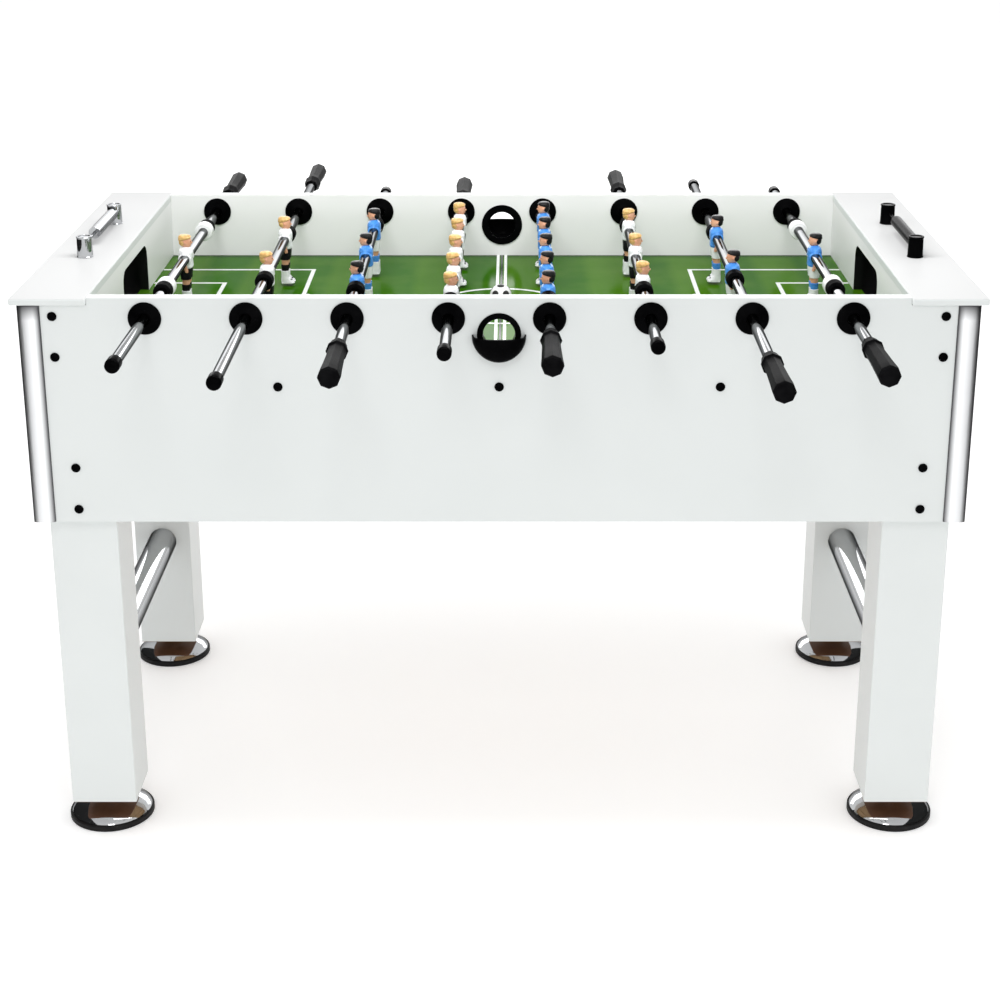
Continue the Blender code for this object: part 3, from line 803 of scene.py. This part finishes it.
def kneeSections(side):
    y = side * 6.8
    return ((-43.4, -0.8, y, 5.5, 5.1, 1), (-38.5, -0.6, y, 6.2, 5.7, 1), (-32, -0.6, y, 6.4, 6.0, 1))


def shortSections(side):
    y = side * 7.1
    return (
        (-34.0, -0.5, y, 7.4, 6.5, 0.9), (-33.5, -0.5, y, 8.3, 7.2, 0.9), (-28, -0.4, y, 8.7, 7.4, 0.9),
        (-21, -0.2, side * 6.7, 9.3, 7.4, 0.9),
    )


def sleeveSections(side):
    return (
        (1.6, 0.4, side * 15.2, 4.0, 3.0, 1), (2.2, 0.4, side * 15.2, 5.0, 3.7, 1),
        (8, 0.2, side * 14.8, 5.2, 4.0, 1), (13, 0, side * 13.0, 4.9, 3.8, 1),
        (16, 0, side * 10.6, 3.2, 2.8, 1),
    )


def armSections(side):
    y = side * 15.6
    return (
        (-21.6, 2.6, y, 1.4, 1.2, 1), (-20.6, 2.6, y, 2.6, 2.0, 1), (-17.4, 2.2, y, 3.0, 2.3, 1),
        (-13.6, 1.6, y, 2.3, 2.0, 1), (-8, 1.0, side * 15.2, 2.7, 2.3, 1),
    )


pinProfile = ((0, -11.9), (1.0, -11.9), (1.25, -11.5), (1.25, 11.5), (1.0, 11.9), (0, 11.9))


def hairShape():
    shape = startShape()
    crown = grown(hairLook["crown"], 28)
    for corner in crown.verts:
        if corner.co.z < hairLook["slantBelow"]:
            corner.co.z += hairLook["slant"] * corner.co.x
    join(shape, crown)
    join(shape, egg(hairLook["nape"], hairLook["napeRadii"], 20, 14))
    for corner in shape.verts:
        turn = math.atan2(corner.co.y, corner.co.x)
        lock = 1 + hairLook["lock"] * math.sin(hairLook["locks"] * turn + hairLook["twist"] * corner.co.z)
        corner.co.x *= lock
        corner.co.y *= lock
    return shape


def playerShape():
    shape = startShape()
    for side in (-1, 1):
        join(shape, grown(bootSections(side)), material=bootsPart)
        join(shape, grown(sockSections(side), 14), material=socksPart)
        join(shape, grown(kneeSections(side), 14), material=skinPart)
        join(shape, grown(shortSections(side)), material=shortsPart)
        join(shape, grown(sleeveSections(side), 14), material=shirtPart)
        join(shape, grown(armSections(side), 12), material=skinPart)
        for word, part in (("ear", skinPart), ("eye", darkPart)):
            (x, y, z), radii, across, down = faceLook[word]
            join(shape, egg((x, side * y, z), radii, across, down), material=part)
    join(shape, block(*soleBlock), material=bootsPart)
    join(shape, grown(hipSections, 24), material=shortsPart)
    join(shape, grown(torsoSections, 24), material=shirtPart)
    join(shape, turned(hubProfile, 36, closed=True), toBack, shirtPart)
    join(shape, grown(neckSections), material=skinPart)
    join(shape, grown(headSections, 24), material=skinPart)
    join(shape, egg(*faceLook["nose"]), material=skinPart)
    join(shape, egg(*faceLook["mouth"]), material=hairPart)
    join(shape, hairShape(), material=hairPart)
    return shape


def buildPlayers():
    figures = {}
    for slot, colours in teamColours.items():
        shape = playerShape()
        facing = upright if slot == "white_plastic" else Matrix.Rotation(math.pi, 4, "Z")
        bmesh.ops.transform(shape, matrix=shifted((0, 0, 0), facing), verts=shape.verts)
        figures[slot] = finishMesh(f"{slot}_figure", shape, colours, 50)
    for rod in rodNames:
        low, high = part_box(f"{rod}_tube")
        for node in sorted(name for name in frame["nodes"] if name.startswith(f"{rod}_player_")):
            nodeLow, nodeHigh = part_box(node)
            place = Vector((low.x + high.x, nodeLow.y + nodeHigh.y, low.z + high.z)) / 2
            slot = nodeFinish[node]
            figure = figures[slot].copy()
            figure.transform(Matrix.Translation(place))
            showPiece(f"{node}_figure", figure, f"{rod}_turn", [node])
            pin = startShape()
            join(pin, turned(pinProfile, steps=12), shifted(place, toRight))
            addPiece(f"{node}_pin", pin, ["chrome"], f"{rod}_turn")


buildPlayers()
print("players built")


# ball entry: a half-bowl outside each long side, open at the top, and a ring inside
entryLook = {
    "height": 0.816, "hole": 24.3, "ringOut": 31.8, "ringIn": 36.0, "thick": 2.6, "lip": 1.2, "wall": 2.4,
    "sleeve": 1.2,
    "bowl": ((39.0, 0.3), (39.0, 9.0), (37.2, 17.0), (32.0, 23.5), (24.0, 27.2), (13.0, 29.0), (0.0, 29.4)),
}


def entryRing(outer):
    look = entryLook
    bore, thick, lip = look["hole"], look["thick"], look["lip"]
    profile = (
        (bore, 0.2), (outer, 0.2), (outer, thick - lip), (outer - lip, thick), (bore + lip, thick),
        (bore, thick - lip),
    )
    return turned(profile, steps=64, closed=True)


def entryBowl(sweep):
    look = entryLook
    shape = startShape()
    least = look["bowl"][0][1]
    outline = [shape.verts.new((radius, 0, depth)) for radius, depth in look["bowl"]]
    for radius, depth in reversed(look["bowl"]):
        outline.append(
            shape.verts.new((max(radius - look["wall"], 0), 0, max(depth - look["wall"], least)))
        )
    section = shape.faces.new(outline)
    bmesh.ops.spin(shape, geom=[section], axis=(0, 0, 1), cent=(0, 0, 0), angle=sweep, steps=30)
    bmesh.ops.remove_doubles(shape, verts=shape.verts, dist=hairline)
    bmesh.ops.recalc_face_normals(shape, faces=shape.faces)
    return shape


def panelFaces(side):
    low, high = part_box(f"{side}_side_panel")
    if side == "front":
        return (low.y, toFront, -math.pi), (high.y, toBack)
    return (high.y, toBack, math.pi), (low.y, toFront)


def buildBallEntry(side):
    (outerFace, outward, sweep), (innerFace, inward) = panelFaces(side)
    cup = startShape()
    place = shifted((0, outerFace, entryLook["height"]), outward)
    join(cup, entryRing(entryLook["ringOut"]), place)
    join(cup, entryBowl(sweep), place)
    depth = abs(innerFace - outerFace) / milli
    bore, wall = entryLook["hole"], entryLook["sleeve"]
    sleeve = ((bore - wall, -depth), (bore, -depth), (bore, 0.3), (bore - wall, 0.3))
    join(cup, turned(sleeve, steps=64, closed=True), place)
    addPiece(f"{side}_ball_entry_cup", cup, ["blackGloss"], "root")
    ring = startShape()
    join(ring, entryRing(entryLook["ringIn"]), shifted((0, innerFace, entryLook["height"]), inward))
    addPiece(f"{side}_ball_entry_ring", ring, ["blackGloss"], "root")


# bolts: place along the side and height, in metres, mirrored left and right
boltLook = {
    "profile": ((6.6, 0.1), (6.9, 0.8), (6.5, 1.9), (5.2, 3.1), (3.2, 3.9), (1.9, 4.1), (1.9, 3.0), (0, 3.0)),
    "places": ((0.640, 0.843), (0.640, 0.782), (0.622, 0.612), (0.622, 0.547), (0.3205, 0.737)),
    "middle": (0.0, 0.737),
}


def buildBolts(side):
    (outerFace, outward, _), _ = panelFaces(side)
    places = [boltLook["middle"]]
    for across, height in boltLook["places"]:
        places += [(-across, height), (across, height)]
    for number, (across, height) in enumerate(sorted(places), 1):
        bolt = startShape()
        join(bolt, turned(boltLook["profile"], steps=24), shifted((across, outerFace, height), outward))
        addPiece(f"{side}_bolt_{number}", bolt, ["blackGloss"], "root")


# corner strip outline: a bulge across the long side and a flat return on the end, in millimetres
stripLook = {
    "bulgeWidth": 32.5, "bulgeHeight": 5.2, "squareness": 0.8, "wrap": 2.5, "gap": 0.3, "return": 21.0,
    "arcSteps": 20, "end": 0.0006,
}


def extruded(outline, height):
    shape = startShape()
    base = shape.faces.new([shape.verts.new((x, y, 0)) for x, y in outline])
    made = bmesh.ops.extrude_face_region(shape, geom=[base])["geom"]
    raised = [item for item in made if isinstance(item, bmesh.types.BMVert)]
    bmesh.ops.translate(shape, vec=(0, 0, height), verts=raised)
    bmesh.ops.recalc_face_normals(shape, faces=shape.faces)
    return shape


bandLook = {"thick": 0.0005, "overlap": 0.0016, "endGap": 0.0008, "soft": hairline}


def buildEdgeBand(side):
    look = bandLook
    low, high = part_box(f"{side}_top_rail")
    panelLow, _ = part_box("back_side_panel")
    inner = high.x if side == "left" else low.x
    out = look["thick"] if side == "left" else -look["thick"]
    gap = math.copysign(hairline, out)
    reach = panelLow.y - look["endGap"]
    xs = sorted((inner + gap, inner + gap + out))
    band = block(
        (xs[0], -reach, low.z - look["overlap"]), (xs[1], reach, high.z - look["endGap"]), look["soft"], 1
    )
    addPiece(f"{side}_rail_edge_band", band, ["laminate"], "root")


def buildCornerStrip(across, along):
    look = stripLook
    low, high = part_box("front_side_panel")
    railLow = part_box("left_top_rail")[0]
    name = f"{'back' if along > 0 else 'front'}_{'right' if across > 0 else 'left'}_corner_strip"
    half = look["bulgeWidth"] / 2
    outline = []
    for step in range(look["arcSteps"] + 1):
        turn = math.pi * step / look["arcSteps"]
        x = half - look["wrap"] + half * math.cos(turn)
        outline.append((x, -look["gap"] - look["bulgeHeight"] * math.sin(turn) ** look["squareness"]))
    outline += [(-look["wrap"], look["return"]), (-look["gap"], look["return"]), (-look["gap"], -look["gap"])]
    end = look["end"] / milli
    length = (railLow.z - low.z) / milli - 2 * end
    corner = Vector((across * high.x, along * abs(low.y), low.z + look["end"]))
    turn = Matrix.Diagonal((-across, -along, 1, 1))
    strip = startShape()
    join(strip, extruded(outline, length), shifted(corner, turn))
    addPiece(name, strip, ["cornerStrip"], "root")


for side in ("front", "back"):
    buildBallEntry(side)
    buildBolts(side)
for side in ("left", "right"):
    buildEdgeBand(side)
for across in (-1, 1):
    for along in (-1, 1):
        buildCornerStrip(across, along)
print("side fittings built")


windowLook = {
    "width": 110.0, "height": 45.0, "band": 9.0, "thick": 4.0, "corner": 7.0, "sleeve": 2.0, "middle": 0.7335,
}


def buildReturnFrame(side):
    look = windowLook
    low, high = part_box(f"{side}_goal_end")
    face, turn = (low.x, toLeft) if side == "left" else (high.x, toRight)
    shape = startShape()
    width, height = look["height"] + 2 * look["band"], look["width"] + 2 * look["band"]
    plate = openFrame(width, height, look["band"] + look["sleeve"], look["thick"], look["corner"])
    join(shape, plate, shifted((face, 0, look["middle"]), turn))
    addPiece(f"{side}_return_window_frame", shape, ["blackMatte"], "root", (), 30)


for side in ("left", "right"):
    buildReturnFrame(side)
print("goal fittings built")


# levelling feet and leg braces, profiles in millimetres
footLook = {
    "dish": (
        (0, 94), (6.2, 94), (7.0, 93.2), (7.0, 44), (13.0, 40), (13.2, 36), (15.4, 31), (19.0, 28.2),
        (30, 25.6), (42, 22.4), (54, 17.6), (60.5, 13.2), (62.6, 10.6), (62.6, 10.2), (0, 10.2),
    ),
    "rim": (
        (0, 0.05), (64.6, 0.05), (66.0, 1.2), (66.0, 8.4), (64.8, 9.9), (63.2, 10.0), (62.8, 9.0), (0, 9.0),
    ),
}


def buildFoot(corner):
    low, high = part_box(f"{corner}_foot")
    place = shifted(((low.x + high.x) / 2, (low.y + high.y) / 2, low.z))
    body = f"{corner}_leveller"
    dish = startShape()
    join(dish, turned(footLook["dish"], steps=72), place)
    addPiece(f"{corner}_foot_dish", dish, ["chrome"], body, [f"{corner}_foot"])
    rim = startShape()
    join(rim, turned(footLook["rim"], steps=72), place)
    addPiece(f"{corner}_foot_rim", rim, ["soleRubber"], body)


braceLook = {"wall": 1.5}


def buildBrace(side):
    low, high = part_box(f"{side}_brace_tube")
    x, z = (low.x + high.x) / 2, (low.z + high.z) / 2
    radius, length = (high.x - low.x) / 2 / milli, (high.y - low.y) / milli
    inner = radius - braceLook["wall"]
    tube = startShape()
    profile = ((inner, 0), (radius, 0), (radius, length), (inner, length))
    join(tube, turned(profile, steps=72, closed=True), shifted((x, low.y, z), toBack))
    addPiece(f"{side}_leg_brace", tube, ["steelRod"], "root", [f"{side}_brace_tube"])


for node in sorted(frame["nodes"]):
    if node.endswith("_foot"):
        buildFoot(node[:-5])
for side in ("left", "right"):
    buildBrace(side)
print("feet and braces built")


# scorers: two posts, a wire between them and ten beads on it
scorerLook = {
    "post": (
        (0, 0), (12.5, 0), (12.5, 1.0), (11.9, 1.8), (11.4, 29.6), (12.1, 30.6), (12.2, 31.8), (11.6, 32.5),
        (9.4, 32.6), (9.0, 31.6), (0, 31.4),
    ),
    "wire": 2.25, "beads": 10, "beadSpare": 0.4, "edge": 0.35, "beadGap": 0.02,
}


def buildScorer(side, metal):
    look = scorerLook
    low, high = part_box(f"{side}_scorer_frame")
    beadLow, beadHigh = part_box(f"{side}_scorer_beads")
    x, wireZ = (low.x + high.x) / 2, (beadLow.z + beadHigh.z) / 2
    postRadius = (high.x - low.x) / 2
    posts = startShape()
    for y in (low.y + postRadius, high.y - postRadius):
        join(posts, turned(look["post"], steps=48), shifted((x, y, low.z)))
    wire = look["wire"]
    reach = (high.y - low.y - 3 * postRadius) / milli
    rod = turned(((0, 0), (wire, 0), (wire, reach), (0, reach)), steps=20)
    join(posts, rod, shifted((x, low.y + 1.5 * postRadius, wireZ), toBack))
    addPiece(f"{side}_scorer_posts", posts, [metal], "root", [f"{side}_scorer_frame"])
    radius = (beadHigh.x - beadLow.x) / 2 / milli
    long = (beadHigh.y - beadLow.y) / look["beads"] / milli
    edge, gap, bore = look["edge"], look["beadGap"], wire + look["beadSpare"]
    profile = (
        (bore, gap), (radius - edge, gap), (radius, edge),
        (radius, long - edge), (radius - edge, long - gap), (bore, long - gap),
    )
    for number in range(look["beads"]):
        bead = startShape()
        place = shifted((x, beadLow.y + number * long * milli, wireZ), toBack)
        join(bead, turned(profile, steps=40, closed=True), place)
        stands = [f"{side}_scorer_beads"] if number == 0 else ()
        addPiece(f"{side}_scorer_bead_{number + 1}", bead, [metal], f"{side}_score", stands)


buildScorer("left", "chrome")
buildScorer("right", "blackGloss")
print("scorers built")


# the ball: a football pattern of twelve dark spots on white
ballLook = {
    "rings": 32, "spotAngle": 20.0, "spotEdge": 0.006, "spotBlack": (0.012, 0.012, 0.013, 1), "tip": -20.0,
}


def makeBallFinish(middle):
    look = {**finishDefaults, **finishes["ballWhite"]}
    material, tree, shader, place = startMaterial("footballPrint")
    golden = (1 + math.sqrt(5)) / 2
    corners = [Vector((a, 0, b * golden)) for a in (-1, 1) for b in (-1, 1)]
    corners = [Vector(corner[turn:] + corner[:turn]) for corner in map(tuple, corners) for turn in range(3)]
    tip = Matrix.Rotation(math.radians(ballLook["tip"]), 3, "X")
    roll = tip @ Matrix.Rotation(math.radians(90), 3, "Y")
    centred = addNode(tree, "ShaderNodeVectorMath", {0: place, 1: tuple(middle)}, operation="SUBTRACT")
    direction = addNode(tree, "ShaderNodeVectorMath", {0: centred.outputs["Vector"]}, operation="NORMALIZE")
    nearest = None
    for corner in corners:
        spotAxis = tuple((roll @ corner).normalized())
        inputs = {0: direction.outputs["Vector"], 1: spotAxis}
        facing = addNode(tree, "ShaderNodeVectorMath", inputs, operation="DOT_PRODUCT").outputs["Value"]
        nearest = facing if nearest is None else worked(tree, "MAXIMUM", nearest, facing)
    edge = math.cos(math.radians(ballLook["spotAngle"]))
    spot = ranged(tree, nearest, edge - ballLook["spotEdge"], edge + ballLook["spotEdge"])
    white = patchedColour(tree, place, look)
    tree.links.new(mixColour(tree, spot, white, ballLook["spotBlack"]), shader.inputs["Base Color"])
    grainedSurface(tree, shader, place, look)
    return material


def buildBall():
    low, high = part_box("ball")
    middle, radius = (low + high) / 2, (high.z - low.z) / 2
    shape = startShape()
    rings = ballLook["rings"]
    bmesh.ops.create_uvsphere(
        shape, u_segments=2 * rings, v_segments=rings, radius=radius, matrix=Matrix.Translation(middle)
    )
    finish["football"] = makeBallFinish(middle)
    addPiece("playing_ball", shape, ["football"], "loose_ball", ["ball"], 60)


buildBall()
print("ball built")


# field lines, in metres: laid a hair above the board
lineLook = {
    "lift": 0.00012, "width": 0.0070, "wideBox": (0.266, 0.238), "smallBox": (0.124, 0.147), "circle": 0.106,
    "halfway": (0.0042, 0.0092), "gap": 0.0018, "penalty": 0.100, "spotFromWall": 0.195,
    "float": 0.00001, "merge": 0.000001, "wallGap": 0.0005, "fewestSteps": 8, "roundSteps": 96,
}


def flatStrip(shape, low, high, part=0):
    lift = lineLook["lift"]
    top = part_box("playfield_board")[1].z
    bar = block((*low, top + lineLook["float"]), (*high, top + lift))
    join(shape, bar, upright, part)


def flatArc(shape, middle, radius, start, end, part=0):
    look = lineLook
    half = look["width"] / 2
    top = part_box("playfield_board")[1].z
    arc = startShape()
    near, far, bottom, crest = radius - half, radius + half, top + look["float"], top + look["lift"]
    corners = ((near, bottom), (far, bottom), (far, crest), (near, crest))
    section = arc.faces.new([arc.verts.new((across, 0, height)) for across, height in corners])
    turn = Matrix.Rotation(start, 4, "Z")
    bmesh.ops.transform(arc, matrix=turn, verts=arc.verts)
    whole = math.isclose(end - start, math.tau)
    steps = max(look["fewestSteps"], int((end - start) / math.tau * look["roundSteps"]))
    bmesh.ops.spin(
        arc, geom=[section], axis=(0, 0, 1), cent=(0, 0, 0), angle=end - start, steps=steps, use_merge=whole
    )
    bmesh.ops.remove_doubles(arc, verts=arc.verts, dist=look["merge"])
    bmesh.ops.recalc_face_normals(arc, faces=arc.faces)
    join(shape, arc, Matrix.Translation((*middle, 0)), part)


def buildFieldLines():
    look = lineLook
    low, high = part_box("playfield_board")
    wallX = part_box("right_goal_end")[0].x
    width = look["width"]
    shape = startShape()
    for sign in (-1, 1):
        near, far = sorted((sign * look["halfway"][0], sign * look["halfway"][1]))
        flatStrip(shape, (near, low.y), (far, high.y))
        for depth, half in (look["wideBox"], look["smallBox"]):
            edge = wallX - depth
            across = sorted((sign * edge, sign * (edge + width)))
            flatStrip(shape, (across[0], -half), (across[1], half))
            inner = sorted((sign * (edge + width), sign * (wallX - look["wallGap"])))
            for side in (-1, 1):
                along = sorted((side * half, side * (half - width)))
                flatStrip(shape, (inner[0], along[0]), (inner[1], along[1]))
        spotX = wallX - look["spotFromWall"]
        away = (wallX - look["wideBox"][0]) - spotX
        turn = math.acos(-away / look["penalty"])
        facing = math.pi if sign > 0 else 0
        flatArc(shape, (sign * spotX, 0), look["penalty"], facing - turn, facing + turn)
    flatArc(shape, (0, 0), look["circle"], 0, math.tau)
    addPiece("field_lines", shape, ["lineWhite"], "root")
    gap = startShape()
    flatStrip(gap, (-look["gap"], low.y), (look["gap"], high.y))
    addPiece("halfway_gap", gap, ["lineGap"], "root")


buildFieldLines()
print("field lines laid")
